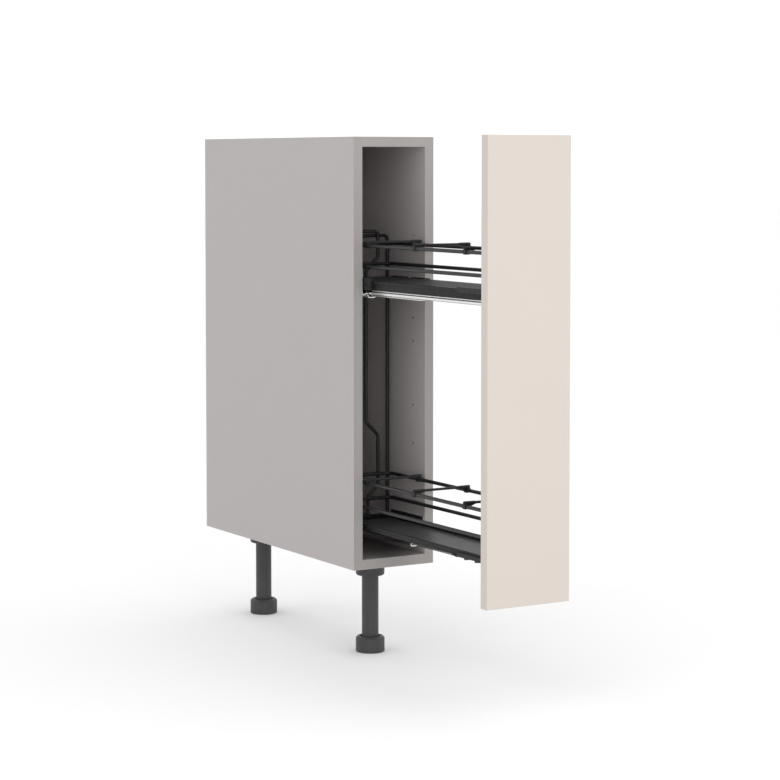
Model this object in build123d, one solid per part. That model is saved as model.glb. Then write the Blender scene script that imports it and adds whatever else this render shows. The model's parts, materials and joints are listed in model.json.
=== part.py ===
from build123d import *
import os

# Pull-out base cabinet with two wire baskets behind one front. Millimetres.
# The model is drawn in the cabinet's own frame: x from the middle of the cabinet to the right,
# y from the carcass's front plane into the cabinet, z up from the carcass's underside.
# write() moves it so that z = 0 is the floor and y = 0 the middle of the footprint.

# Carcass
cabinet_width = 150.0
cabinet_height = 700.0
cabinet_depth = 538.0
board = 16.0
back_board = 8.0
back_inset = 18.0
groove_depth = 8.0
groove_clearance = 0.15

# Joint fittings between the boards
dowel_diameter = 8.0
dowel_length = 30.0
dowel_in_side = 11.0
dowel_inset = 82.0
hole_clearance = 0.3
hole_end_gap = 1.0
cam_diameter = 15.0
cam_depth = 12.5
cam_distance = 24.0
cam_inset = 50.0
bolt_bore = 8.0
bolt_thread = 5.0
bolt_shank = 6.0
bolt_neck = 4.0
bolt_in_side = 11.0

# Holes in the side boards and the top
system_hole = 5.0
system_hole_depth = 12.0
system_front = 37.0
system_pitch = 32.0
system_rear_steps = 14
system_heights = (195.0, 259.0, 365.0, 403.0, 539.0)
worktop_hole = 4.5
worktop_spacing_x = 70.0
worktop_spacing_y = 420.0

# Legs
leg_height = 153.0
leg_front = 77.0
leg_rear = 459.0
tube_diameter = 27.8
tube_wall = 2.6
tube_boss = 24.0
tube_clearance = 0.1
socket_diameter = 47.6
socket_height = 25.0
socket_floor = 3.0
socket_round = 4.0
peg_diameter = 10.0
peg_length = 11.0
peg_spacing = 23.0
foot_diameter = 48.0
foot_height = 26.0
foot_bevel = 3.0
foot_recess = 34.0
foot_recess_depth = 12.0
tube_in_foot = 2.0
stem_diameter = 12.0
stem_height = 62.0

# Pull-out
extension = 374.0
closed_gap = 2.0
front_thickness = 17.0
front_gap_side = 1.2
front_gap_bottom = 0.6
front_gap_top = 0.8
front_round = 1.0
bumper_diameter = 8.0
bumper_height = 1.8
bumper_inset = 24.0

# Baskets: the trays' undersides above the carcass's, then each level above the one before
tray_width = 104.0
tray_rear = 95.0
tray_sheet = 1.2
tray_corner = 6.0
tray_setback = 1.2
tray_round = 1.4
tray_flange = 22.0
pan_sheet = 0.8
bead_height = 5.5
bead_width = 4.4
bead_round = 1.8
rail_diameter = 6.0
rail_spacing = 96.2
rail_corner = 14.0
upper_tray_bottom = 453.6
upper_tray_height = 15.9
upper_mid_rise = 21.4
upper_top_rise = 33.9
lower_tray_bottom = 63.0
lower_tray_height = 10.3
lower_mid_rise = 26.6
lower_top_rise = 40.3

# Rear frame: rises are above the rail that each bend stands over
frame_diameter = 6.0
frame_corner = 7.0
outer_half_width = 49.0
outer_rise = 12.3
inner_rise = 19.7
inner_half_width = 27.3
inner_middle_half = 4.2
inner_foot_half = 8.0
inner_upper_jog_rise = 11.1
inner_lower_jog_rise = 87.3
inner_foot_jog_rise = 22.1
inner_foot_drop = 2.0
jog_radius = 6.0
weld_clearance = 0.05

# Front brackets
bracket_sheet = 2.0
bracket_overlap = 2.2
bracket_lip = 14.0
bracket_lip_half = 28.0
screw_slot = 8.0
screw_diameter = 4.0
screw_head = 8.0
screw_head_height = 2.4
screw_in_board = 12.0
screw_side_inset = 14.0
screw_end_inset = 13.0

# Dividers
divider_spacing = 146.5
divider_first = 0.0
divider_count = 3
divider_wire = 4.2
divider_gap = 0.4
clip_wall = 1.6
clip_width = 9.0
clip_sleeve = 5.8
clip_sleeve_end = 2.0
clip_arm = 16.0
clip_arm_end = 5.2
clip_web = 4.0
clip_clearance = 0.1

# Runners: u is measured from the wall inwards and v up from the runner's underside
runner_length = 500.0
runner_front = 2.0
runner_sheet = 1.5
runner_height = 47.6
runner_low_flange = 30.0
runner_tab = 100.0
lower_runner_base = 29.8
flange_foot = 7.6
channel_ridge = ((3.4, 4.6), (9.4, 8.4))
channel_near = 13.4
channel_far = 24.4
channel_lip = ((25.4, 4.5), (22.6, 5.6))
channel_bends = (1.6, 1.6, 1.6, 1.4, 1.4, 1.0)
slide_height = 13.0
slide_near = 12.0
slide_far = 27.6
slide_eave = 1.2
slide_roof = 1.2
slide_wall = 1.2
slide_near_hook = 5.4
slide_far_hook = 6.9
slide_hook_sheet = 1.1
slide_hook_top = 9.6
slide_hook_lap = 0.9
slide_hook_reach = 4.4
slide_length = 490.0
slide_start = 4.0
middle_web = 2.2
middle_head_low = 8.2
middle_head_high = 9.4
middle_head_half = 5.0
middle_foot_low = 3.4
middle_foot_high = 4.4
middle_foot_near = 15.4
middle_foot_far = 22.6
middle_length = 440.0
middle_start = 30.0
cage_length = 200.0
outer_cage_start = 140.0
inner_cage_start = 150.0
roller_count = 6
outer_roller = 1.8
inner_roller = 2.3
roller_clearance = 0.05
runner_screw_length = 11.0
runner_screw_head = 0.8
runner_screw_drop = 14.0
runner_screw_middle_drop = 8.0
runner_screw_middle_step = 7
tray_screw_diameter = 3.8
tray_screw_head = 1.2
tray_screw_rows = (-320.0, 50.0)
cap_height = 7.0
cap_thickness = 3.5
carrier_sheet = 1.5
carrier_clearance = 0.2
carrier_rear_gap = 7.2

# Small plastic parts on the trays
guide_thickness = 4.2
guide_wrap = 3.6
guide_wrap_height = 1.0
guide_height = 15.5
guide_above_left = 4.3
guide_above_right = 1.1
guide_spans = ((-20.0, 30.0), (48.0, 94.0))
catch_thickness = 2.5
catch_length = 95.4
upper_catch_above = 2.0
upper_catch_height = 8.3
lower_catch_below = 0.2
lower_catch_height = 6.5
lower_catch_foot = 4.6
catch_lugs = ((28.3, 44.6), (59.4, 74.0))
catch_lug_depth = 2.4
catch_tail = 15.0
catch_tail_depth = 1.3

# Worked out from the above
half_width = cabinet_width / 2
inner_half = half_width - board
back_front = cabinet_depth - back_inset - back_board
runner_travel_at_rest = extension - closed_gap
front_back = -extension
bracket_back = front_back + bracket_sheet
upper_tray_rim = upper_tray_bottom + upper_tray_height
upper_mid_rail = upper_tray_rim + upper_mid_rise
upper_top_rail = upper_mid_rail + upper_top_rise
lower_tray_rim = lower_tray_bottom + lower_tray_height
lower_mid_rail = lower_tray_rim + lower_mid_rise
lower_top_rail = lower_mid_rail + lower_top_rise
upper_runner_base = upper_tray_bottom - slide_height
lower_pan_floor = lower_tray_bottom + 2 * pan_sheet
rear_bar = tray_rear - rail_diameter / 2
inner_frame_y = tray_rear + frame_diameter / 2 + weld_clearance
outer_frame_y = inner_frame_y + frame_diameter + weld_clearance
outer_top = upper_top_rail + outer_rise
outer_bottom = lower_tray_bottom + frame_diameter / 2
inner_top = upper_top_rail + inner_rise
inner_upper_jog = upper_mid_rail + inner_upper_jog_rise
inner_lower_jog = lower_top_rail + inner_lower_jog_rise
inner_foot_jog = lower_mid_rail + inner_foot_jog_rise
inner_bottom = lower_tray_bottom - inner_foot_drop
divider_rise = (rail_diameter + divider_wire) / 2 + divider_gap
slide_middle = (slide_near + slide_far) / 2
pan_ledge = tray_width / 2 - (inner_half - slide_near) - carrier_clearance
system_rear = system_front + system_pitch * system_rear_steps
footprint_middle = (cabinet_depth - extension - front_thickness) / 2


def box(x0, x1, y0, y1, z0, z1):
    """A block between two corners."""
    size = Box(abs(x1 - x0), abs(y1 - y0), abs(z1 - z0), align=(Align.MIN, Align.MIN, Align.MIN))
    return Pos(min(x0, x1), min(y0, y1), min(z0, z1)) * size


def rod(diameter, start, direction, length):
    """A round bar from a point along a direction."""
    place = Plane(origin=start, z_dir=direction)
    return place * Cylinder(diameter / 2, length, align=(Align.CENTER, Align.CENTER, Align.MIN))


def turned(points, at):
    """A body turned about a vertical axis, from (radius, height) points."""
    outline = Polyline(*[(radius, 0, height) for radius, height in points], close=True)
    return Pos(*at) * revolve(make_face(outline), axis=Axis.Z)


def wire(points, diameter, corner):
    """A bent wire along points in space."""
    path = FilletPolyline(*points, radius=corner)
    start = Plane(origin=path @ 0, z_dir=path % 0)
    return sweep(start * Circle(diameter / 2), path=path)


def along_y(sketch, y0, y1):
    """A section drawn in x and z, drawn out along y."""
    section = Plane(origin=(0, y1, 0), x_dir=(1, 0, 0), z_dir=(0, -1, 0))
    return extrude(section * sketch, amount=y1 - y0)


def along_x(points, x0, x1):
    """A side view drawn as (y, z) points, drawn out along x."""
    outline = make_face(Polyline(*points, close=True))
    return extrude(Plane(origin=(x0, 0, 0), x_dir=(0, 1, 0), z_dir=(1, 0, 0)) * outline, amount=x1 - x0)


def group(solids):
    """Separate solids in one node."""
    return Compound(children=[solid for item in solids for solid in item.solids()])


def mirrored(shape):
    """The same shape on the other side of the cabinet."""
    return mirror(shape, about=Plane.YZ)


def write(name, shape):
    """Move a node to the floor frame and write it."""
    placed = Pos(0, -footprint_middle, leg_height) * shape
    export_step(placed, "parts/" + name + ".step")


# Carcass

def joint_axes():
    """Heights of the fitting axes: bottom board, then top board."""
    return board / 2, cabinet_height - board / 2


def rows(inset):
    """A front and a rear row at the same inset."""
    return inset, cabinet_depth - inset


def side_panel():
    """The left board; the right one is its mirror."""
    panel = box(-half_width, -inner_half, 0, cabinet_depth, 0, cabinet_height)
    cut = groove_depth
    panel -= box(-inner_half - cut, -inner_half, back_front - groove_clearance,
                 back_front + back_board + groove_clearance, 0, cabinet_height)
    inner_face = -inner_half
    for z in joint_axes():
        for y in rows(dowel_inset):
            panel -= rod(dowel_diameter + hole_clearance, (inner_face, y, z), (-1, 0, 0),
                         dowel_in_side + hole_end_gap)
        for y in rows(cam_inset):
            panel -= rod(bolt_thread + hole_clearance, (inner_face, y, z), (-1, 0, 0),
                         bolt_in_side + hole_end_gap)
    for z in system_heights:
        for y in (system_front, system_rear):
            panel -= rod(system_hole, (inner_face, y, z), (-1, 0, 0), system_hole_depth)
    return panel


def drilled_for_runner(panel, base):
    """Pilot holes for one runner's screws in the left board."""
    for y, v in runner_screw_places():
        panel -= rod(system_hole, (-inner_half, y, base + v), (-1, 0, 0), system_hole_depth)
    return panel


def flat_panel(z0, inner_face, outward):
    """A board between the sides; outward is +1 for the top and -1 for the bottom."""
    panel = box(-inner_half, inner_half, 0, cabinet_depth, z0, z0 + board)
    groove = inner_face + outward * groove_depth
    panel -= box(-inner_half, inner_half, back_front - groove_clearance,
                 back_front + back_board + groove_clearance, inner_face, groove)
    outer_face = inner_face + outward * board
    for side in (-1, 1):
        end = side * inner_half
        for y in rows(dowel_inset):
            panel -= rod(dowel_diameter + hole_clearance, (end, y, z0 + board / 2), (-side, 0, 0),
                         dowel_length - dowel_in_side + hole_end_gap)
        for y in rows(cam_inset):
            panel -= rod(bolt_bore, (end, y, z0 + board / 2), (-side, 0, 0), cam_distance)
            panel -= rod(cam_diameter, (end - side * cam_distance, y, outer_face), (0, 0, -outward),
                         cam_depth)
    return panel


def top_panel():
    """The top board, with holes for the worktop's screws."""
    z0 = cabinet_height - board
    panel = flat_panel(z0, z0, 1)
    for x in (-worktop_spacing_x / 2, worktop_spacing_x / 2):
        for y in (-worktop_spacing_y / 2, worktop_spacing_y / 2):
            panel -= rod(worktop_hole, (x, cabinet_depth / 2 + y, z0), (0, 0, 1), board)
    return panel


def peg_places(y):
    """The four pegs of a leg socket."""
    half = peg_spacing / 2
    return [(sx * half, y + sy * half) for sx in (-1, 1) for sy in (-1, 1)]


def bottom_panel():
    """The bottom board, with blind holes for the leg sockets."""
    panel = flat_panel(0, board, -1)
    for leg in (leg_front, leg_rear):
        for x, y in peg_places(leg):
            panel -= rod(peg_diameter + hole_clearance, (x, y, 0), (0, 0, 1), peg_length + hole_end_gap)
    return panel


def back_panel():
    """The back board, held in the grooves all round."""
    reach = groove_depth - groove_clearance
    low = board - reach
    return box(-inner_half - reach, inner_half + reach, back_front, back_front + back_board,
               low, cabinet_height - low)


def dowels():
    """Wooden dowels in the board joints."""
    made = []
    for side in (-1, 1):
        for z in joint_axes():
            for y in rows(dowel_inset):
                start = (side * (inner_half + dowel_in_side), y, z)
                made.append(chamfer(rod(dowel_diameter, start, (-side, 0, 0), dowel_length).edges(), 0.8))
    return group(made)


def cam_bolt():
    """One bolt: thread in the side board, shank and head in the flat board."""
    to_cam = cam_distance
    head = bolt_shank / 2
    return turned([(0, -bolt_in_side), (bolt_thread / 2, -bolt_in_side), (bolt_thread / 2, 0),
                   (head, 0), (head, to_cam - 7), (bolt_neck / 2, to_cam - 7), (bolt_neck / 2, to_cam - 2.5),
                   (head, to_cam - 2.5), (head, to_cam + 0.5), (0, to_cam + 0.5)], (0, 0, 0))


def cam_bolts():
    """The bolts of all four joints."""
    bolt = cam_bolt()
    made = []
    for side in (-1, 1):
        for z in joint_axes():
            for y in rows(cam_inset):
                made.append(Plane(origin=(side * inner_half, y, z), z_dir=(-side, 0, 0)) * bolt)
    return group(made)


def cam_lock():
    """A cam with its cross slot upwards and its mouth towards +x, face at z = 0."""
    radius = cam_diameter / 2 - hole_clearance
    depth = cam_depth - 0.2
    slot = bolt_shank / 2 + 0.3
    cam = Pos(0, 0, -depth) * Cylinder(radius, depth, align=(Align.CENTER, Align.CENTER, Align.MIN))
    cam -= box(-slot, radius + 1, -slot, slot, -board / 2 - slot, -board / 2 + slot)
    for turn in (45, 135):
        cam -= Rot(0, 0, turn) * box(-4, 4, -0.8, 0.8, -1.5, 0)
    return cam


def cam_locks():
    """The cams of all four joints, faces flush with the boards' outer faces."""
    cam = cam_lock()
    made = []
    for side in (-1, 1):
        for y in rows(cam_inset):
            x = side * (inner_half - cam_distance)
            facing = Rot(0, 0, 0 if side > 0 else 180) * cam
            made.append(Pos(x, y, cabinet_height) * facing)
            made.append(Pos(x, y, 0) * mirror(facing, about=Plane.XY))
    return group(made)


# Legs

def leg_socket(y):
    """The moulded socket under the bottom board, with four pegs."""
    radius = socket_diameter / 2
    cup = turned([(0, 0), (radius, 0), (radius, -socket_height), (0, -socket_height)], (0, y, 0))
    cup = fillet(cup.edges().group_by(Axis.Z)[0], socket_round)
    bore = tube_diameter + 2 * tube_clearance
    cup -= rod(bore, (0, y, -socket_height), (0, 0, 1), socket_height - socket_floor)
    for x, peg_y in peg_places(y):
        cup += rod(peg_diameter, (x, peg_y, -socket_floor / 2), (0, 0, 1), peg_length + socket_floor / 2)
    return cup


def leg_tube(y):
    """A tube with a threaded boss at its lower end for the foot's stem."""
    top = -socket_floor
    low = foot_height - tube_in_foot - leg_height
    outer = tube_diameter / 2
    inner = outer - tube_wall
    bore = stem_diameter / 2 + 0.1
    return turned([(bore, low), (outer - 1, low), (outer, low + 1), (outer, top), (inner, top),
                   (inner, low + tube_boss), (bore, low + tube_boss)], (0, y, 0))


def foot(y):
    """The foot's cup and its threaded stem in one moulding."""
    low = -leg_height
    top = low + foot_height
    radius = foot_diameter / 2
    recess = foot_recess / 2
    floor = top - foot_recess_depth
    stem = stem_diameter / 2
    return turned([(0, low), (radius - 1.5, low), (radius, low + 1.5), (radius, top - foot_bevel),
                   (radius - foot_bevel, top), (recess, top), (recess, floor), (stem, floor),
                   (stem, floor + stem_height - 1), (stem - 1, floor + stem_height),
                   (0, floor + stem_height)], (0, y, 0))


# Runners, drawn for the left wall

def runner_screw_places():
    """Screw places on a runner: y and height above its underside."""
    high = runner_height - runner_screw_drop
    low = runner_low_flange - runner_screw_middle_drop
    middle = system_front + runner_screw_middle_step * system_pitch
    return (system_front, high), (middle, low), (system_rear, high)


def cabinet_member(base):
    """The member on the wall: a tall flange and a channel at its foot."""
    wall = -inner_half
    half = runner_sheet / 2
    section = [(half, runner_height), (half, flange_foot), *channel_ridge, (channel_near, half),
               (channel_far, half), *channel_lip]
    path = FilletPolyline(*[(wall + u, base + v) for u, v in section], radius=channel_bends)
    member = along_y(trace(path, line_width=runner_sheet), runner_front, runner_front + runner_length)
    member -= box(wall, wall + runner_sheet, runner_front + runner_tab,
                  runner_front + runner_length - runner_tab, base + runner_low_flange, base + runner_height)
    for y, v in runner_screw_places():
        member -= rod(system_hole, (wall, y, base + v), (1, 0, 0), runner_sheet)
    return member


def section_blocks(base, blocks, y0, y1):
    """A section made of (u0, u1, v0, v1) walls, drawn out along y."""
    wall = -inner_half
    made = [box(wall + u0, wall + u1, y0, y1, base + v0, base + v1) for u0, u1, v0, v1 in blocks]
    body = made[0]
    for block in made[1:]:
        body += block
    return body


def middle_member(base):
    """The member between: lower flange in the wall member, upper flange in the slide."""
    start = middle_start - runner_travel_at_rest / 2
    web = (slide_middle - middle_web / 2, slide_middle + middle_web / 2, middle_foot_high, middle_head_low)
    foot_flange = (middle_foot_near, middle_foot_far, middle_foot_low, middle_foot_high)
    head = (slide_middle - middle_head_half, slide_middle + middle_head_half,
            middle_head_low, middle_head_high)
    return section_blocks(base, (web, foot_flange, head), start, start + middle_length)


def slide_side(hook_low):
    """The near side of the slide: a web set back under the eave, and a hook below it."""
    near, wall = slide_near, slide_wall
    return ((near + wall, near + 2 * wall, slide_hook_top - slide_hook_lap, slide_height - slide_roof),
            (near, near + wall, hook_low, slide_hook_top),
            (near + wall, near + slide_hook_reach, hook_low, hook_low + slide_hook_sheet))


def slide_member(base):
    """The member under the tray, open below and hooked round the middle member."""
    start = slide_start - runner_travel_at_rest
    roof = (slide_near - slide_eave, slide_far + slide_eave, slide_height - slide_roof, slide_height)
    far_side = tuple((2 * slide_middle - u1, 2 * slide_middle - u0, v0, v1)
                     for u0, u1, v0, v1 in slide_side(slide_far_hook))
    slide = section_blocks(base, (roof,) + slide_side(slide_near_hook) + far_side, start, start + slide_length)
    low_edge = slide.edges().filter_by(Axis.Y).sort_by(lambda edge: edge.center().X + 2 * edge.center().Z)[0]
    return fillet(low_edge, slide_hook_sheet - 0.1)


def roller_places(start):
    """Roller positions along a cage."""
    pitch = cage_length / roller_count
    return [start + pitch * (index + 0.5) for index in range(roller_count)]


def cage(base, v, diameter, u0, u1, start):
    """A plastic strip with a window for each roller."""
    half = diameter / 4
    strip = section_blocks(base, ((u0, u1, v - half, v + half),), start, start + cage_length)
    wall = -inner_half
    reach = diameter / 2 + 0.2
    for y in roller_places(start):
        strip -= box(wall + u0 + 1, wall + u1 - 1, y - reach, y + reach, base + v - half, base + v + half)
    return strip


def rollers(base, v, diameter, u0, u1, start):
    """The rollers in one cage."""
    wall = -inner_half
    length = u1 - u0 - 2.4
    return group([rod(diameter, (wall + u0 + 1.2, y, base + v), (1, 0, 0), length)
                  for y in roller_places(start)])


def outer_cage_values(base):
    """Place of the cage between the wall member and the middle member."""
    v = runner_sheet + roller_clearance + outer_roller / 2
    start = outer_cage_start - runner_travel_at_rest / 4
    return base, v, outer_roller, middle_foot_near, middle_foot_far, start


def inner_cage_values(base):
    """Place of the cage between the middle member and the slide."""
    v = middle_head_high + roller_clearance + inner_roller / 2
    half = middle_head_half - 0.2
    start = inner_cage_start - runner_travel_at_rest * 3 / 4
    return base, v, inner_roller, slide_middle - half, slide_middle + half, start


def runner_screws(base):
    """Screws through one wall member into the left board."""
    made = []
    for y, v in runner_screw_places():
        head = -inner_half + runner_sheet
        shank = rod(system_hole - hole_clearance, (head, y, base + v), (-1, 0, 0),
                    runner_screw_length + runner_sheet)
        made.append(shank + rod(screw_head, (head, y, base + v), (1, 0, 0), runner_screw_head))
    return made


def runner_cap(base):
    """A plastic strip along the top of the wall member's front tab."""
    wall = -inner_half
    top = base + runner_height
    y0 = runner_front + 3
    y1 = runner_front + runner_tab - 1
    cap = box(wall + runner_sheet, wall + runner_sheet + cap_thickness, y0, y1, top - cap_height, top)
    upper_edge = cap.edges().filter_by(Axis.Y).sort_by(lambda edge: edge.center().X + edge.center().Z)[-1]
    return fillet(upper_edge, 1.5)


def slide_carrier():
    """The folded channel that lifts the lower tray off its slide, for the left wall."""
    wall = -inner_half
    low = lower_runner_base + slide_height
    high = lower_pan_floor - pan_sheet
    sheet = carrier_sheet
    start = bracket_back + pan_ledge + tray_round
    end = tray_rear - pan_ledge - carrier_rear_gap
    near, far = wall + slide_near, wall + slide_far
    channel = box(near, far, start, end, low, high)
    return channel - box(near + sheet, far, start, end, low + sheet, high - sheet)


# Baskets

def tray_block(inset, z0, z1):
    """The tray's outline, set in all round, between two heights."""
    length = tray_rear - bracket_back
    corner = max(tray_corner - inset, tray_round)
    outline = RectangleRounded(tray_width - 2 * inset, length - 2 * inset, corner)
    return extrude(Pos(0, bracket_back + length / 2, z0) * outline, amount=z1 - z0)


def tray_bead(rim):
    """The thick rolled edge round a tray."""
    low = rim - bead_height
    bead = tray_block(0, low, rim) - tray_block(bead_width, low, rim)
    return fillet(bead.edges().filter_by(Plane.XY), bead_round)


def tray_shell(bottom, top):
    """The tray's wall, set back under the bead, as a full block with a rounded underside."""
    block = tray_block(tray_setback, bottom, top)
    return fillet(block.edges().filter_by(Plane.XY).group_by(Axis.Z)[0], tray_round)


def pan_rim():
    """The lower tray's frame: a bead over a wall, with a narrow ledge inside for the floor."""
    bottom = lower_tray_bottom
    inside = tray_setback + tray_sheet
    top = lower_tray_rim - bead_height / 2
    rim = tray_shell(bottom, top) - tray_block(inside, bottom + pan_sheet, top)
    return rim - tray_block(pan_ledge, bottom, bottom + pan_sheet) + tray_bead(lower_tray_rim)


def pan_floor():
    """The lower tray's floor sheet, which lies on the ledge and on the carrier."""
    return tray_block(tray_setback + tray_sheet, lower_pan_floor - pan_sheet, lower_pan_floor)


def shelf_tray():
    """The upper tray: a flush top with folded-down walls and an inward flange under them."""
    bottom, rim = upper_tray_bottom, upper_tray_rim
    inside = tray_setback + tray_sheet
    shelf = tray_shell(bottom, rim - bead_height / 2)
    shelf += tray_bead(rim) + tray_block(bead_width - 1, rim - tray_sheet, rim)
    shelf -= tray_block(inside, bottom + tray_sheet, rim - bead_height)
    shelf -= tray_block(bead_width, rim - bead_height, rim - tray_sheet)
    return shelf - tray_block(tray_flange, bottom, bottom + tray_sheet)


def rail(z):
    """A wire round the rear and both sides of a basket."""
    side = rail_spacing / 2
    points = [(-side, bracket_back, z), (-side, rear_bar, z), (side, rear_bar, z), (side, bracket_back, z)]
    return wire(points, rail_diameter, rail_corner)


def rear_frame_outer():
    """The wire that ties the baskets on the right and stops above the left runner."""
    y = outer_frame_y
    side = outer_half_width
    left_end = upper_tray_bottom + frame_diameter / 2
    return wire([(-side, y, left_end), (-side, y, outer_top), (side, y, outer_top), (side, y, outer_bottom),
                 (-inner_half_width, y, outer_bottom)], frame_diameter, frame_corner)


def rear_frame_inner():
    """The narrow wire that jogs to the middle between the baskets."""
    y = inner_frame_y
    wide, centre, foot_half = inner_half_width, inner_middle_half, inner_foot_half
    right = [(wide, inner_top), (wide, inner_upper_jog), (centre, inner_upper_jog - (wide - centre)),
             (centre, inner_lower_jog), (wide, inner_lower_jog - (wide - centre)), (wide, inner_foot_jog),
             (foot_half, inner_foot_jog - (wide - foot_half)), (foot_half, inner_bottom)]
    left = [(-x, z) for x, z in reversed(right)]
    points = [(x, y, z) for x, z in left + right]
    return wire(points, frame_diameter, jog_radius)


def bracket_span(tray_bottom, top_rail):
    """Lowest and highest height of a front bracket."""
    return tray_bottom, top_rail + rail_diameter / 2 + bracket_overlap


def bracket_screw_places(rim, top_rail):
    """Screw places of a front bracket in x and z."""
    high = bracket_span(rim, top_rail)[1]
    x = rail_spacing / 2 + bracket_overlap - screw_side_inset
    return [(sx * x, z) for sx in (-1, 1) for z in (rim + screw_end_inset, high - screw_end_inset)]


def front_bracket(tray_bottom, rim, top_rail):
    """The plate behind the front that carries the rails and the tray, with upright slots."""
    low, high = bracket_span(tray_bottom, top_rail)
    half = (rail_spacing + rail_diameter) / 2 + bracket_overlap
    plate = box(-half, half, front_back, bracket_back, low - bracket_sheet, high)
    plate += box(-bracket_lip_half, bracket_lip_half, bracket_back, bracket_back + bracket_lip,
                 low - bracket_sheet, low)
    for x, z in bracket_screw_places(rim, top_rail):
        slot = along_y(Pos(x, z) * SlotOverall(screw_slot, screw_diameter + 0.4, rotation=90),
                       front_back, bracket_back)
        plate -= slot
    return plate


def bracket_screws():
    """Screws of both front brackets into the front panel."""
    made = []
    for rim, top_rail in basket_levels():
        for x, z in bracket_screw_places(rim, top_rail):
            shank = rod(screw_diameter, (x, bracket_back, z), (0, -1, 0), bracket_sheet + screw_in_board)
            made.append(shank + rod(screw_head, (x, bracket_back, z), (0, 1, 0), screw_head_height))
    return group(made)


def basket_levels():
    """Tray rim and top rail of the upper, then the lower basket."""
    return (upper_tray_rim, upper_top_rail), (lower_tray_rim, lower_top_rail)


def front_panel():
    """The front board with softened edges and pilot holes for its brackets."""
    half = half_width - front_gap_side
    panel = box(-half, half, front_back - front_thickness, front_back,
                front_gap_bottom, cabinet_height - front_gap_top)
    panel = fillet(panel.faces().sort_by(Axis.Y)[0].edges(), front_round)
    for rim, top_rail in basket_levels():
        for x, z in bracket_screw_places(rim, top_rail):
            panel -= rod(screw_diameter + hole_clearance, (x, front_back, z), (0, -1, 0),
                         screw_in_board + hole_end_gap)
    return panel


def front_bumpers():
    """Soft dots that meet the side boards when the front is shut."""
    x = half_width - board / 2
    return group([rod(bumper_diameter, (sx * x, front_back, z), (0, 1, 0), bumper_height)
                  for sx in (-1, 1) for z in (bumper_inset, cabinet_height - bumper_inset)])


def tray_guide(y0, y1, above):
    """A pad clipped over the upper tray's bead, for the left wall."""
    rim = upper_tray_rim
    outer = -tray_width / 2
    pad = box(outer - guide_thickness, outer, y0, y1, rim - guide_height, rim + above)
    pad = fillet(pad.edges().filter_by(Axis.X).group_by(Axis.Z)[-1], 1.0)
    return pad + box(outer, outer + guide_wrap, y0 + 3, y1 - 3, rim, rim + guide_wrap_height)


def tray_guides():
    """Pads on both sides of the upper tray, which keep it off the side boards."""
    left = [tray_guide(y0, y1, guide_above_left) for y0, y1 in guide_spans]
    right = [mirrored(tray_guide(y0, y1, guide_above_right)) for y0, y1 in guide_spans]
    return group(left + right)


def catch_strip(low, high, inner):
    """A catch's strip along the left of a tray, from the front bracket inwards."""
    outer = -tray_width / 2 - catch_thickness
    y0 = bracket_back + 0.2
    strip = box(outer, inner, y0, y0 + catch_length, low, high)
    return fillet(strip.edges().filter_by(Axis.X).group_by(Axis.Y)[-1], 1.0)


def tray_catch_upper():
    """The catch over the upper tray's bead, which locks it to the front bracket."""
    high = upper_tray_rim + upper_catch_above
    return catch_strip(high - upper_catch_height, high, -tray_width / 2)


def tray_catch_lower():
    """The catch under the lower tray's bead, with wedge-shaped lugs below it."""
    low = lower_tray_bottom - lower_catch_below
    high, foot_top = low + lower_catch_height, low + lower_catch_foot
    outer = -tray_width / 2 - catch_thickness
    wall = -tray_width / 2 + tray_setback
    end = bracket_back + 0.2 + catch_length
    catch = catch_strip(low, high, -tray_width / 2 - 0.1) + catch_strip(low, foot_top, wall)
    for start, stop in catch_lugs:
        y0, y1 = bracket_back + start, bracket_back + stop
        catch += along_x([(y0, low + 1), (y0, low - 0.4), (y1 - 3, low - catch_lug_depth),
                          (y1, low - catch_lug_depth), (y1, low + 1)], outer, wall)
    tail = [(end - 4, low + 1), (end - 4, low - 0.6), (end, low - catch_tail_depth),
            (end + catch_tail, low + 0.6), (end + catch_tail, low + 1.4), (end - 4, low + 1.4)]
    return catch + along_x(tail, outer, wall)


def tray_screws(floor, runner_base):
    """Screws that hold one tray to its slide, from inside the tray, for the left wall."""
    x = slide_middle - inner_half
    depth = floor - (runner_base + slide_height - slide_roof)
    return [rod(tray_screw_diameter, (x, y, floor), (0, 0, -1), depth)
            + rod(screw_head, (x, y, floor), (0, 0, 1), tray_screw_head) for y in tray_screw_rows]


def drilled_for_tray_screws(shape, floor):
    """Holes for the tray screws up to just above a floor, for the left wall."""
    for y in tray_screw_rows:
        shape -= rod(tray_screw_diameter + hole_clearance, (slide_middle - inner_half, y, 0), (0, 0, 1),
                     floor + 1)
    return shape


# Dividers

def divider_positions():
    """Resting places of the dividers along a basket, rear one first."""
    return [divider_first - divider_spacing * index for index in range(divider_count)]


def divider_wire_at(y, top_rail):
    """The cross wire, with its ends inside the two clips."""
    return rod(divider_wire, (-rail_spacing / 2, y, top_rail + divider_rise), (1, 0, 0), rail_spacing)


def clip_side_view(x, top_rail, z):
    """The web between ring and sleeve: upright beside the rail, then sloping up to the wire."""
    ring = rail_diameter / 2 + clip_wall
    return make_face(Polyline((x - ring + 1, top_rail), (x - ring + 1, z), (x + clip_arm, z),
                              (x + clip_arm, z - divider_wire / 2), (x + ring - 1, top_rail - 1), close=True))


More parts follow.
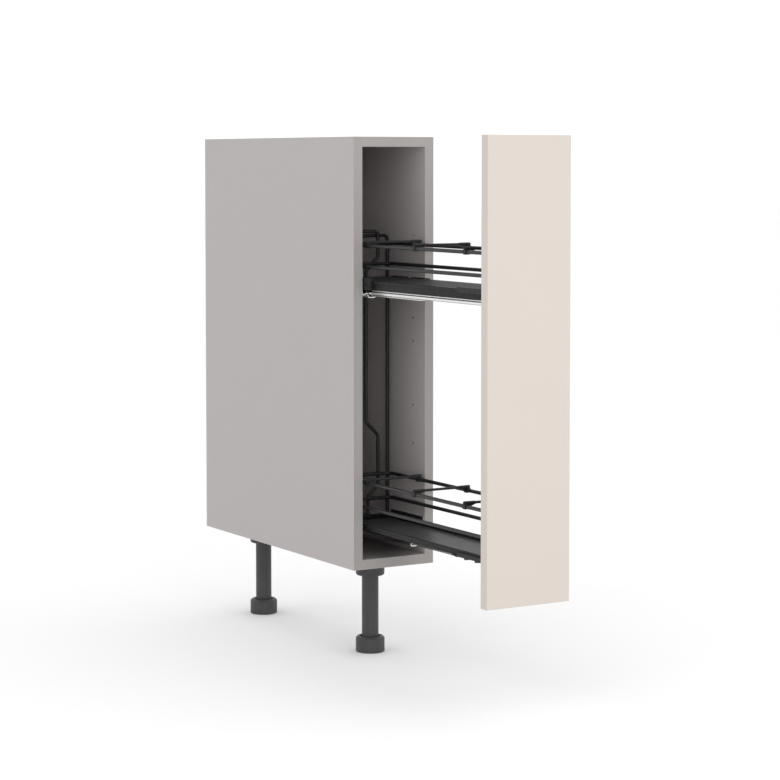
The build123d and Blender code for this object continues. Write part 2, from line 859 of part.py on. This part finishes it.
def divider_clip(y, top_rail):
    """A ring round the left rail and a tapered sleeve round the cross wire, joined by a web."""
    x = -rail_spacing / 2
    z = top_rail + divider_rise
    ring_diameter = rail_diameter + 2 * clip_wall
    clip = rod(ring_diameter, (x, y - clip_width / 2, top_rail), (0, 1, 0), clip_width)
    start = x - ring_diameter / 2
    sleeve = Plane(origin=(start, y, z), z_dir=(1, 0, 0)) * Cone(
        clip_sleeve / 2, clip_arm_end / 2, clip_arm + x - start, align=(Align.CENTER, Align.CENTER, Align.MIN))
    sleeve = fillet(sleeve.edges().group_by(Axis.X)[0], clip_sleeve_end)
    clip += along_y(clip_side_view(x, top_rail, z), y - clip_web / 2, y + clip_web / 2)
    clip += sleeve
    clip -= rod(rail_diameter + 2 * clip_clearance, (x, y - clip_width, top_rail), (0, 1, 0), 2 * clip_width)
    clip -= rod(divider_wire, (x, y, z), (1, 0, 0), clip_arm + clip_sleeve)
    mouth = rail_diameter * 0.7
    clip -= box(x - mouth / 2, x + mouth / 2, y - clip_width, y + clip_width,
                top_rail - ring_diameter, top_rail)
    return clip


def divider_clips_at(y, top_rail):
    """Both clips of one divider."""
    clip = divider_clip(y, top_rail)
    return group([clip, mirrored(clip)])


def write_carcass():
    """All fixed nodes."""
    left = drilled_for_runner(side_panel(), upper_runner_base)
    right = mirrored(drilled_for_runner(side_panel(), lower_runner_base))
    write("side_panel_left", left)
    write("side_panel_right", right)
    write("top_panel", top_panel())
    write("bottom_panel", bottom_panel())
    write("back_panel", back_panel())
    write("wood_dowels", dowels())
    write("cam_bolts", cam_bolts())
    write("cam_locks", cam_locks())
    for name, y in (("front", leg_front), ("rear", leg_rear)):
        write("leg_socket_" + name, leg_socket(y))
        write("foot_" + name, foot(y))
    write("leg_tubes", group([leg_tube(leg_front), leg_tube(leg_rear)]))


def write_runners():
    """The left runner carries the upper basket and the right one the lower basket."""
    def same(shape):
        return shape

    for name, base, place in (("upper", upper_runner_base, same), ("lower", lower_runner_base, mirrored)):
        write("runner_rail_" + name, place(cabinet_member(base)))
        write("runner_middle_" + name, place(middle_member(base)))
        write("runner_slide_" + name, place(drilled_for_tray_screws(slide_member(base), base + slide_height)))
        write("cage_outer_" + name, place(cage(*outer_cage_values(base))))
        write("rollers_outer_" + name, place(rollers(*outer_cage_values(base))))
        write("cage_inner_" + name, place(cage(*inner_cage_values(base))))
        write("rollers_inner_" + name, place(rollers(*inner_cage_values(base))))
    screws = runner_screws(upper_runner_base) + [mirrored(s) for s in runner_screws(lower_runner_base)]
    write("runner_screws", group(screws))
    write("runner_caps", group([runner_cap(upper_runner_base), mirrored(runner_cap(lower_runner_base))]))
    write("slide_carrier_lower", mirrored(drilled_for_tray_screws(slide_carrier(), lower_pan_floor)))


def write_pullout():
    """The front and both baskets."""
    write("front_panel", front_panel())
    write("front_bumpers", front_bumpers())
    write("bracket_screws", bracket_screws())
    write("rear_frame_outer", rear_frame_outer())
    write("rear_frame_inner", rear_frame_inner())
    write("tray_guides_upper", tray_guides())
    shelf_flange_top = upper_tray_bottom + tray_sheet
    write("tray_upper", drilled_for_tray_screws(shelf_tray(), shelf_flange_top))
    write("tray_lower", pan_rim())
    write("tray_floor_lower", mirrored(drilled_for_tray_screws(pan_floor(), lower_pan_floor)))
    write("tray_catch_upper", tray_catch_upper())
    write("tray_catch_lower", tray_catch_lower())
    screws = tray_screws(shelf_flange_top, upper_runner_base)
    screws += [mirrored(screw) for screw in tray_screws(lower_pan_floor, lower_runner_base)]
    write("tray_screws", group(screws))
    levels = (("upper", upper_tray_bottom, upper_tray_rim, upper_mid_rail, upper_top_rail),
              ("lower", lower_tray_bottom, lower_tray_rim, lower_mid_rail, lower_top_rail))
    for name, tray_bottom, rim, mid_rail, top_rail in levels:
        write("mid_rail_" + name, rail(mid_rail))
        write("top_rail_" + name, rail(top_rail))
        write("front_bracket_" + name, front_bracket(tray_bottom, rim, top_rail))
        for index, y in enumerate(divider_positions(), start=1):
            write("divider_wire_" + name + "_" + str(index), divider_wire_at(y, top_rail))
            write("divider_clips_" + name + "_" + str(index), divider_clips_at(y, top_rail))


os.makedirs("parts", exist_ok=True)
write_carcass()
write_runners()
write_pullout()
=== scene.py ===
import json
import math

import bmesh
import bpy
from mathutils import Matrix, Vector


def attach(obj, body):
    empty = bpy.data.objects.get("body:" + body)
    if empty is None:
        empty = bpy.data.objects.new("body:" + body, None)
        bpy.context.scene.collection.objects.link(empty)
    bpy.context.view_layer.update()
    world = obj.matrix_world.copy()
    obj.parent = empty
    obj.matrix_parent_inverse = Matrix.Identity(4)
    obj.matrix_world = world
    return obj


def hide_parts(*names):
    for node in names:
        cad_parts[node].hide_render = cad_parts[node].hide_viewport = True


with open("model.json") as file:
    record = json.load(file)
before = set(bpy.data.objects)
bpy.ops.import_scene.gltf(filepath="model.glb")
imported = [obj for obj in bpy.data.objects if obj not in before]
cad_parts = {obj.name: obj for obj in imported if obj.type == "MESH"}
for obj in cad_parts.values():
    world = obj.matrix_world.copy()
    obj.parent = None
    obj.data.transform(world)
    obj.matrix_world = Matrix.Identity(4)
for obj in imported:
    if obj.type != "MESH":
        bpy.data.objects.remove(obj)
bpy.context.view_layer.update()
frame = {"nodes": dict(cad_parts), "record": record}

nodes = frame["nodes"]

# Camera: fitted to the photograph's straight edges, in metres, degrees and millimetres of lens
CAMERA_PLACE = (-1.91353, -3.28548, 0.81336)
CAMERA_YAW = 30.6867
CAMERA_PITCH = 3.3447
CAMERA_LENS = 106.6322
CAMERA_SENSOR = 36
CAMERA_SHIFT_Y = -0.12
CAMERA_REACH = (0.05, 100)

# Light and floor
ROOM_LEVEL = 1.08
LIGHT_PLACE = (-0.6, -4.5, 1.6)
LIGHT_TARGET = (0.0, -0.4, 0.45)
LIGHT_SIZE = (2.6, 2.2)
LIGHT_POWER = 52
FLOOR_SIZE = 60

# The carcass: its front and back planes, its middle, and the gain of painted light that makes its inside
# faces lighter
FRONT_PLANE = -0.0735
BACK_PLANE = 0.4645
CARCASS_CENTRE = (0.0, 0.1955, 0.503)
INSIDE_PAINTED_LIGHT_GAIN = 1.20

# A face looks along an axis where its normal has at least this part along it
FACING = 0.7
# How near a board's end plane its edge is taken to be, and the glue line behind the front edge's band
EDGE_SKIN = 0.0002
GLUE_LINE_DEPTH = 0.001
GLUE_LINE_HALF = 0.00012

# The upper tray's shelf, inside its bead, and the lower tray's floor are matt, in tones of their own
LOWER_FLOOR_TOP = 0.2176
UPPER_SHELF_TOP = 0.6225
SHELF_TOP_HALF = 0.0003
MAT_MIDDLE_Y = -0.211
MAT_HALF_Y = 0.2281
MAT_HALF_X = 0.0475
MAT_ROUGHNESS = 0.54
LOWER_MAT = (0.064, 0.064, 0.066)
UPPER_MAT = (0.027, 0.027, 0.028)

# The runners' base heights, upper and lower, and the slides' reach from the middle plane
RUNNER_BASES = (0.5936, 0.1828)
SLIDE_NEAR = 0.0475
# Painted shade on the groove and the lower lip of a slide: height above the base, half width, share of
# painted shade
SLIDE_PAINTED_SHADE_LINES = ((0.0107, 0.0011, 0.93), (0.0059, 0.0006, 0.42))

# Places of the Mix node's colour inputs and of its colour output
MIX_A, MIX_B, MIX_RESULT = 6, 7, 2


# Node helpers

class Shader:
    """A procedural material built node by node."""

    def __init__(self, name):
        self.material = bpy.data.materials.new(name)
        self.material.use_nodes = True
        self.tree = self.material.node_tree
        self.surface = self.tree.nodes["Principled BSDF"]
        self.coords = self.tree.nodes.new("ShaderNodeTexCoord").outputs["Object"]

    def node(self, kind, **sockets):
        """A node with its inputs set or linked; keys with a leading n_ are its own properties."""
        made = self.tree.nodes.new("ShaderNode" + kind)
        for key, value in sockets.items():
            if key.startswith("n_"):
                setattr(made, key[2:], value)
        for key, value in sockets.items():
            if not key.startswith("n_"):
                self.put(made.inputs[key.replace("_", " ")], value)
        return made

    def put(self, socket, value):
        """Links a socket or sets its value."""
        if isinstance(value, bpy.types.NodeSocket):
            self.tree.links.new(value, socket)
        else:
            socket.default_value = value

    def stretched(self, scale):
        """The object position, scaled along each axis."""
        return self.node("Mapping", Vector=self.coords, Scale=scale).outputs["Vector"]

    def noise(self, scale, detail=2.0, roughness=0.5, stretch=(1, 1, 1)):
        """Noise in object space; scale is in cycles per metre."""
        made = self.node("TexNoise", Vector=self.stretched(stretch), Scale=scale, Detail=detail,
                         Roughness=roughness)
        return made.outputs["Fac"]

    def cells(self, scale, stretch=(1, 1, 1)):
        """Cells of random colour in object space."""
        made = self.node("TexVoronoi", Vector=self.stretched(stretch), Scale=scale)
        return made.outputs["Color"]

    def span(self, value, low, high, start=0.0, end=1.0):
        """Maps low..high to start..end, clamped."""
        made = self.node("MapRange", n_clamp=True, Value=value)
        for socket, number in zip(("From Min", "From Max", "To Min", "To Max"), (low, high, start, end)):
            self.put(made.inputs[socket], number)
        return made.outputs["Result"]

    def math(self, operation, a, b=0.0):
        made = self.tree.nodes.new("ShaderNodeMath")
        made.operation = operation
        self.put(made.inputs[0], a)
        self.put(made.inputs[1], b)
        return made.outputs[0]

    def mix(self, amount, a, b, blend="MIX"):
        made = self.tree.nodes.new("ShaderNodeMix")
        made.data_type = "RGBA"
        made.blend_type = blend
        self.put(made.inputs[0], amount)
        self.put(made.inputs[MIX_A], a)
        self.put(made.inputs[MIX_B], b)
        return made.outputs[MIX_RESULT]

    def axis(self, letter, of="coords"):
        """One component of the object position or of the true normal."""
        source = self.coords
        if of == "normal":
            source = self.tree.nodes.new("ShaderNodeNewGeometry").outputs["Normal"]
        return self.node("SeparateXYZ", Vector=source).outputs[letter]

    def bump(self, height, depth, strength=1.0, under=None):
        """A normal bent by a height in metres, on top of another one if given."""
        made = self.node("Bump", Height=height, Distance=depth, Strength=strength)
        if under is not None:
            self.put(made.inputs["Normal"], under)
        return made.outputs["Normal"]

    def finish(self, colour, roughness, normal=None, **extra):
        """Sets the surface's inputs and gives back the material."""
        self.put(self.surface.inputs["Base Color"], colour)
        self.put(self.surface.inputs["Roughness"], roughness)
        if normal is not None:
            self.put(self.surface.inputs["Normal"], normal)
        for key, value in extra.items():
            self.put(self.surface.inputs[key.replace("_", " ")], value)
        return self.material


def rgba(colour, gain=1.0):
    """An opaque colour, made lighter or darker by a gain."""
    return (colour[0] * gain, colour[1] * gain, colour[2] * gain, 1.0)


def mottled(shader, colour, spread, scale, detail=3.0):
    """A colour that wanders a little either side of its mean."""
    amount = shader.span(shader.noise(scale, detail), 0.3, 0.7)
    return shader.mix(amount, rgba(colour, 1 - spread), rgba(colour, 1 + spread))


def near(shader, value, place, width):
    """1 within width of place, else 0."""
    away = shader.math("ABSOLUTE", shader.math("SUBTRACT", value, place))
    return shader.math("LESS_THAN", away, width)


def both(shader, *masks):
    """1 where every mask is 1."""
    joined = masks[0]
    for mask in masks[1:]:
        joined = shader.math("MULTIPLY", joined, mask)
    return joined


def within(shader, letter, reach):
    """1 where the distance from the middle plane is under reach."""
    return shader.math("LESS_THAN", shader.math("ABSOLUTE", shader.axis(letter)), reach)


def faces_inwards(shader, centre):
    """1 on faces turned towards a point."""
    outwards = shader.node("VectorMath", n_operation="SUBTRACT")
    shader.put(outwards.inputs[0], shader.coords)
    outwards.inputs[1].default_value = centre
    product = shader.node("VectorMath", n_operation="DOT_PRODUCT")
    shader.put(product.inputs[0], outwards.outputs["Vector"])
    shader.put(product.inputs[1], shader.tree.nodes.new("ShaderNodeNewGeometry").outputs["Normal"])
    return shader.math("LESS_THAN", product.outputs["Value"], 0.0)


# Materials

def chipboard(shader):
    """Raw particle board for edges that aren't covered."""
    flakes = shader.node("SeparateColor", Color=shader.cells(900, (1, 0.45, 1))).outputs["Red"]
    base = shader.mix(flakes, rgba(FLAKE_DARK), rgba(FLAKE_LIGHT))
    return shader.mix(shader.span(shader.noise(350, 4), 0.55, 0.75), base, rgba(FLAKE_GAP))


def board(name, colour, edge, raw_back=True):
    """Melamine-faced board: covered front edge with its glue line, raw edge at the back."""
    shader = Shader(name)
    face = mottled(shader, colour, 0.012, 14)
    speckle = shader.span(shader.noise(2600, 2), 0.35, 0.65)
    face = shader.mix(speckle, face, rgba(colour, 0.965))
    # Painted light: faces turned into the carcass are made lighter by a gain
    face = shader.mix(faces_inwards(shader, CARCASS_CENTRE), face, rgba((INSIDE_PAINTED_LIGHT_GAIN,) * 3), "MULTIPLY")
    y = shader.axis("Y")
    to_front = shader.math("LESS_THAN", shader.axis("Y", "normal"), -FACING)
    at_front = shader.math("LESS_THAN", y, FRONT_PLANE + EDGE_SKIN)
    band = shader.math("MULTIPLY", to_front, at_front)
    face = shader.mix(band, face, mottled(shader, edge, 0.01, 60))
    glue_line = near(shader, y, FRONT_PLANE + GLUE_LINE_DEPTH, GLUE_LINE_HALF)
    face = shader.mix(shader.math("MULTIPLY", glue_line, 0.45), face, rgba(edge, 0.45))
    if raw_back:
        to_back = shader.math("GREATER_THAN", shader.axis("Y", "normal"), FACING)
        raw = shader.math("MULTIPLY", to_back, shader.math("GREATER_THAN", y, BACK_PLANE - EDGE_SKIN))
        face = shader.mix(raw, face, chipboard(shader))
    grain = shader.bump(shader.noise(1700, 3, 0.6), 0.00004, 0.35)
    waves = shader.bump(shader.noise(45, 2), 0.0004, 0.06, grain)
    rough = shader.span(shader.noise(120, 3), 0.3, 0.7, 0.40, 0.50)
    return shader.finish(face, rough, waves, Specular_IOR_Level=0.35)


def lacquer(name, colour):
    """Smooth matt foil on the front board."""
    shader = Shader(name)
    face = mottled(shader, colour, 0.006, 9)
    face = shader.mix(shader.span(shader.noise(3200, 2), 0.4, 0.6, 0, 0.5), face, rgba(colour, 0.985))
    peel = shader.bump(shader.noise(620, 3, 0.55), 0.00006, 0.22)
    waves = shader.bump(shader.noise(24, 2), 0.0005, 0.04, peel)
    rough = shader.span(shader.noise(160, 2), 0.3, 0.7, 0.46, 0.54)
    return shader.finish(face, rough, waves, Specular_IOR_Level=0.3)


def shelf_top(shader):
    """1 on the upper tray's upward face, inside its bead."""
    upwards = shader.math("GREATER_THAN", shader.axis("Z", "normal"), FACING)
    along = near(shader, shader.axis("Y"), MAT_MIDDLE_Y, MAT_HALF_Y)
    level = near(shader, shader.axis("Z"), UPPER_SHELF_TOP, SHELF_TOP_HALF)
    return both(shader, upwards, along, within(shader, "X", MAT_HALF_X), level)


def powder_coat(name, colour, rough=0.42, gloss=0.5, spread=0.10, shelf=None):
    """Baked powder on wire and sheet: fine orange peel, a little dust, and a matt shelf if one is given."""
    shader = Shader(name)
    face = mottled(shader, colour, spread, 260, 4)
    if shelf:
        top = shelf_top(shader)
        face = shader.mix(top, face, mottled(shader, shelf, 0.08, 1900))
    up = shader.span(shader.axis("Z", "normal"), 0.4, 1.0, 0, 0.04)
    dust = shader.math("MULTIPLY", up, shader.span(shader.noise(95, 5, 0.7), 0.45, 0.75))
    face = shader.mix(dust, face, rgba(DUST))
    peel = shader.bump(shader.noise(1500, 3, 0.6), 0.00008, 0.55)
    roughness = shader.span(shader.noise(420, 3), 0.3, 0.7, rough - 0.07, rough + 0.07)
    if shelf:
        roughness = shader.math("ADD", roughness, shader.math("MULTIPLY", top, MAT_ROUGHNESS - rough))
    return shader.finish(face, roughness, peel, Specular_IOR_Level=gloss)


def zinc(name, colour=(0.80, 0.80, 0.79), rough=0.26):
    """Rolled and zinc plated steel: drawn lines, a faint mottle, and painted shade in the slides' groove and
    on their lower lip.
    """
    shader = Shader(name)
    face = mottled(shader, colour, 0.06, 180, 4)
    drawn = shader.noise(900, 3, 0.6, (1, 0.02, 1))
    face = shader.mix(shader.span(drawn, 0.35, 0.65, 0, 0.35), face, rgba(colour, 0.8))
    roughness = shader.span(drawn, 0.3, 0.7, rough - 0.08, rough + 0.12)
    z = shader.axis("Z")
    # Painted shade: bands at the slides' groove and lower lip are darkened towards SHADE
    for base in RUNNER_BASES:
        for middle, half, share in SLIDE_PAINTED_SHADE_LINES:
            line = both(shader, near(shader, z, base + middle, half), within(shader, "X", SLIDE_NEAR))
            face = shader.mix(shader.math("MULTIPLY", line, share), face, rgba(SHADE))
    lines = shader.bump(drawn, 0.00005, 0.35)
    return shader.finish(face, roughness, lines, Metallic=1.0)


def fitting_metal(name, colour=(0.60, 0.60, 0.60)):
    """Small zinc plated fittings and screws."""
    shader = Shader(name)
    face = mottled(shader, colour, 0.10, 600, 4)
    pits = shader.bump(shader.noise(2600, 3), 0.00005, 0.4)
    rough = shader.span(shader.noise(900, 3), 0.3, 0.7, 0.28, 0.45)
    return shader.finish(face, rough, pits, Metallic=0.95)


def moulded(name, colour, rough=0.5, spark=0.00006, streak=0.0, gloss=0.45):
    """Moulded plastic with an eroded tool texture."""
    shader = Shader(name)
    face = mottled(shader, colour, 0.06, 110, 3)
    if streak:
        flow = shader.noise(60, 3, 0.5, (1, 1, 0.12))
        face = shader.mix(shader.span(flow, 0.4, 0.7, 0, streak), face, rgba(colour, 1.35))
    grain = shader.bump(shader.noise(2100, 4, 0.65), spark, 0.5)
    roughness = shader.span(shader.noise(300, 3), 0.3, 0.7, rough - 0.06, rough + 0.06)
    return shader.finish(face, roughness, grain, Specular_IOR_Level=gloss)


def beech(name):
    """Raw turned beech with its short rays."""
    shader = Shader(name)
    grain = shader.noise(1400, 4, 0.6, (0.06, 1, 1))
    face = shader.mix(shader.span(grain, 0.3, 0.7), rgba(BEECH_DARK), rgba(BEECH_LIGHT))
    rays = shader.span(shader.noise(3000, 1, 0.5, (0.25, 1, 1)), 0.62, 0.68)
    face = shader.mix(shader.math("MULTIPLY", rays, 0.5), face, rgba(BEECH_RAY))
    return shader.finish(face, 0.62, shader.bump(grain, 0.0001, 0.4))


def clear_soft(name):
    """Clear soft plastic dots."""
    shader = Shader(name)
    face = mottled(shader, CLEAR, 0.02, 500)
    skin = shader.bump(shader.noise(1200, 2), 0.00004, 0.3)
    rough = shader.span(shader.noise(700, 2), 0.3, 0.7, 0.16, 0.26)
    return shader.finish(face, rough, skin, Transmission_Weight=0.45, IOR=1.45)


# Colours, as linear red, green and blue
CARCASS = (0.4150, 0.3854, 0.3854)
CARCASS_EDGE = (0.326, 0.309, 0.298)
FRONT = (0.566, 0.512, 0.465)
FLAKE_DARK = (0.36, 0.24, 0.13)
FLAKE_LIGHT = (0.62, 0.47, 0.30)
FLAKE_GAP = (0.22, 0.14, 0.08)
BEECH_DARK = (0.50, 0.32, 0.18)
BEECH_LIGHT = (0.74, 0.55, 0.36)
BEECH_RAY = (0.34, 0.20, 0.10)
ROLLER = (0.70, 0.70, 0.70)
WIRE = (0.020, 0.020, 0.0215)
SHEET = (0.015, 0.015, 0.016)
DIVIDER = (0.016, 0.016, 0.017)
LEG = (0.041, 0.041, 0.043)
DARK_PLASTIC = (0.016, 0.016, 0.017)
GREY_PLASTIC = (0.018, 0.018, 0.019)
CAGE = (0.66, 0.66, 0.62)
CLEAR = (0.86, 0.86, 0.84)
DUST = (0.30, 0.29, 0.28)
SHADE = (0.03, 0.03, 0.03)
PAPER = (0.93, 0.93, 0.93)

finishes = {
    "carcass_board": board("melamine", CARCASS, CARCASS_EDGE),
    "back_board": board("melamine_back", CARCASS, CARCASS_EDGE, raw_back=False),
    "front_board": lacquer("front_foil", FRONT),
    "dowel_wood": beech("beech"),
    "fitting_steel": fitting_metal("fitting_zinc"),
    "runner_steel": zinc("runner_zinc"),
    "roller_steel": zinc("roller_steel", ROLLER, 0.2),
    "coated_wire": powder_coat("wire_coat", WIRE, 0.36, 0.28),
    "coated_sheet": powder_coat("sheet_coat", SHEET, 0.30, 0.10, shelf=UPPER_MAT),
    "divider_wire": powder_coat("divider_coat", DIVIDER, 0.36, 0.25),
    "leg_plastic": moulded("leg_plastic", LEG, 0.52, 0.00008, 0.25),
    "dark_plastic": moulded("dark_plastic", DARK_PLASTIC, 0.46, gloss=0.22),
    "grey_plastic": moulded("grey_plastic", GREY_PLASTIC, 0.50, gloss=0.22),
    "cage_plastic": moulded("cage_plastic", CAGE, 0.4),
    "soft_dots": clear_soft("soft_dots"),
}

# Pieces whose finish isn't their slot's
own_finishes = {"tray_floor_lower": powder_coat("floor_coat", LOWER_MAT, 0.42, 0.13, 0.08)}

for part in frame["record"]["subparts"]:
    node = nodes[part["node"]]
    node.data.materials.clear()
    node.data.materials.append(own_finishes.get(part["node"], finishes[part["material_slot"]]))


# Screws with their heads and cross recesses

# A domed head, as shares of its radius and rise, from the top of the axis to the seat
DOME = ((0, 1), (0.55, 0.97), (0.82, 0.80), (0.96, 0.45), (1, 0.15), (0.985, 0))
# One ridge of the thread, as shares of the shank's radius and of the pitch
RIDGE = ((0.80, 0), (0.98, 0.4), (0.80, 0.8))
# The neck, the tip and the pitch, as shares of the shank's radius, and where the ridges start
NECK, TIP, PITCH = 0.85, 0.6, 0.75
THREAD_START = 0.0006
# The cross: half an arm's width and the taper, as shares of its reach, the depth as a share of the
# head's rise, and how far the cutter stands out of the head
CROSS_ARM, CROSS_TAPER, CROSS_DEPTH = 0.36, 0.6, 0.75
CUTTER_ABOVE = 0.0004
SHARP_ANGLE = 32
# How far each screw of a set is turned on from the one before, in radians
SCREW_TURN = 0.9

def turned_profile(made, profile, steps=40):
    """Turns (radius, height) points about z into a bmesh, both ends on the axis."""
    rings = []
    for radius, height in profile:
        if radius == 0:
            rings.append([made.verts.new((0, 0, height))])
            continue
        turns = [2 * math.pi * step / steps for step in range(steps)]
        rings.append([made.verts.new((radius * math.cos(turn), radius * math.sin(turn), height))
                      for turn in turns])
    for upper, lower in zip(rings, rings[1:]):
        for step in range(steps):
            after = (step + 1) % steps
            corners = [upper[step % len(upper)], lower[step % len(lower)],
                       lower[after % len(lower)], upper[after % len(upper)]]
            made.faces.new(list(dict.fromkeys(corners)))
    made.normal_update()


def mesh_object(name, made):
    """An object from a bmesh, which is freed."""
    mesh = bpy.data.meshes.new(name)
    made.to_mesh(mesh)
    made.free()
    piece = bpy.data.objects.new(name, mesh)
    bpy.context.scene.collection.objects.link(piece)
    return piece


def cross_cutter(reach, depth, top):
    """A tapered cross, the shape of the driver's tip."""
    made = bmesh.new()
    arm = reach * CROSS_ARM
    outline = [(reach, -arm), (reach, arm), (arm, arm), (arm, reach), (-arm, reach), (-arm, arm),
               (-reach, arm), (-reach, -arm), (-arm, -arm), (-arm, -reach), (arm, -reach), (arm, -arm)]
    high = [made.verts.new((x, y, top + CUTTER_ABOVE)) for x, y in outline]
    low = [made.verts.new((x * CROSS_TAPER, y * CROSS_TAPER, top - depth)) for x, y in outline]
    made.faces.new(high)
    made.faces.new(low[::-1])
    for index in range(len(outline)):
        after = (index + 1) % len(outline)
        made.faces.new((high[index], low[index], low[after], high[after]))
    bmesh.ops.recalc_face_normals(made, faces=made.faces)
    return mesh_object("cutter", made)


def screw(head, rise, shank, length, recess):
    """One screw along z with its seat at z = 0: a domed head and a ridged shank."""
    made = bmesh.new()
    dome = [(head * across, rise * up) for across, up in DOME]
    pitch = shank * PITCH
    ridges = []
    depth = THREAD_START
    while depth + pitch < length:
        ridges += [(shank * across, -depth - pitch * down) for across, down in RIDGE]
        depth += pitch
    turned_profile(made, dome + [(shank * NECK, 0)] + ridges + [(shank * TIP, -length), (0, -length)])
    bmesh.ops.recalc_face_normals(made, faces=made.faces)
    body = mesh_object("screw", made)
    cutter = cross_cutter(head * recess, rise * CROSS_DEPTH, rise)
    cut = body.modifiers.new("recess", "BOOLEAN")
    cut.operation, cut.object, cut.solver = "DIFFERENCE", cutter, "EXACT"
    bpy.context.view_layer.update()
    mesh = bpy.data.meshes.new_from_object(body.evaluated_get(bpy.context.evaluated_depsgraph_get()))
    for spare in (body, cutter):
        bpy.data.objects.remove(spare)
    return mesh


def screws(name, node, mesh, places, facings, body, slot="fitting_steel", finish=None):
    """Copies of one screw at its places, standing in for a CAD node."""
    made = bmesh.new()
    for index, (place, facing) in enumerate(zip(places, facings)):
        copy = mesh.copy()
        turn = Vector((0, 0, 1)).rotation_difference(Vector(facing)).to_matrix().to_4x4()
        spin = Matrix.Rotation(SCREW_TURN * (index + 1), 4, "Z")
        copy.transform(Matrix.Translation(place) @ turn @ spin)
        made.from_mesh(copy)
        bpy.data.meshes.remove(copy)
    piece = mesh_object(name, made)
    for polygon in piece.data.polygons:
        polygon.use_smooth = True
    piece.data.set_sharp_from_angle(angle=math.radians(SHARP_ANGLE))
    piece.data.materials.append(finish or finishes[slot])
    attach(piece, body)
    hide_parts(node)


# Seats of the screws' heads: on the front's brackets, on the runners' cabinet members, in the trays
BRACKET_REACH = 0.0363
BRACKET_PLANE = -0.4455
BRACKET_HEIGHTS = (0.6355, 0.6700, 0.2393, 0.2854)
RUNNER_REACH = 0.0575
RUNNER_HOLES = ((-0.0365, 0.0336), (0.1875, 0.0220), (0.4115, 0.0336))
TRAY_ROWS = (-0.3935, -0.0235)
TRAY_SCREWS = {"upper": (-0.0392, 0.6078, 0.0024), "lower": (0.0392, LOWER_FLOOR_TOP, 0.0230)}

bracket_places = [(side * BRACKET_REACH, BRACKET_PLANE, z) for z in BRACKET_HEIGHTS for side in (-1, 1)]
runner_places = [(side * RUNNER_REACH, y, base + above) for side, base in zip((-1, 1), RUNNER_BASES)
                 for y, above in RUNNER_HOLES]
bracket_screw = screw(head=0.0040, rise=0.0024, shank=0.0020, length=0.0140, recess=0.56)
runner_screw = screw(head=0.0040, rise=0.0008, shank=0.0023, length=0.0124, recess=0.50)

screws("bracket_screw_set", "bracket_screws", bracket_screw,
       bracket_places, [(0, 1, 0)] * len(bracket_places), "pullout")
screws("runner_screw_set", "runner_screws", runner_screw,
       runner_places, [(-place[0], 0, 0) for place in runner_places], "carcass")
for level, (x, z, length) in TRAY_SCREWS.items():
    tray_screw = screw(head=0.0040, rise=0.0012, shank=0.0019, length=length, recess=0.50)
    tray_places = [(x, y, z) for y in TRAY_ROWS]
    screws("tray_screw_pair_" + level, "tray_screws", tray_screw, tray_places,
           [(0, 0, 1)] * len(tray_places), "pullout", "coated_sheet", own_finishes["tray_floor_lower"])


# Stage, light and camera

def floor():
    """A plain pale floor, much larger than the view."""
    bpy.ops.mesh.primitive_plane_add(size=FLOOR_SIZE, location=(0, 0, 0))
    plane = bpy.context.object
    plane.name = "floor"
    shader = Shader("floor_paper")
    colour = mottled(shader, PAPER, 0.004, 3)
    grain = shader.bump(shader.noise(220, 2), 0.0002, 0.05)
    shader.finish(colour, 0.75, grain, Specular_IOR_Level=0.15)
    plane.data.materials.append(shader.material)


def soft_box(name, place, target, size, power):
    """A broad soft light aimed at a point."""
    data = bpy.data.lights.new(name, "AREA")
    data.shape = "RECTANGLE"
    data.size, data.size_y = size
    data.energy = power
    light = bpy.data.objects.new(name, data)
    light.location = place
    light.rotation_euler = (Vector(target) - Vector(place)).to_track_quat("-Z", "Y").to_euler()
    bpy.context.scene.collection.objects.link(light)


def surround(level):
    """An even white room."""
    world = bpy.data.worlds.new("room")
    world.use_nodes = True
    background = world.node_tree.nodes["Background"]
    background.inputs["Color"].default_value = (1, 1, 1, 1)
    background.inputs["Strength"].default_value = level
    bpy.context.scene.world = world


def camera():
    """The photograph's camera."""
    data = bpy.data.cameras.new("camera")
    data.sensor_width = CAMERA_SENSOR
    data.lens = CAMERA_LENS
    data.shift_y = CAMERA_SHIFT_Y
    data.clip_start, data.clip_end = CAMERA_REACH
    eye = bpy.data.objects.new("camera", data)
    eye.location = CAMERA_PLACE
    eye.rotation_euler = (math.radians(90 - CAMERA_PITCH), 0, math.radians(-CAMERA_YAW))
    bpy.context.scene.collection.objects.link(eye)
    bpy.context.scene.camera = eye


floor()
surround(ROOM_LEVEL)
soft_box("front_softbox", LIGHT_PLACE, LIGHT_TARGET, LIGHT_SIZE, LIGHT_POWER)
camera()
bpy.context.scene.view_settings.view_transform = "Standard"
bpy.context.scene.view_settings.look = "None"
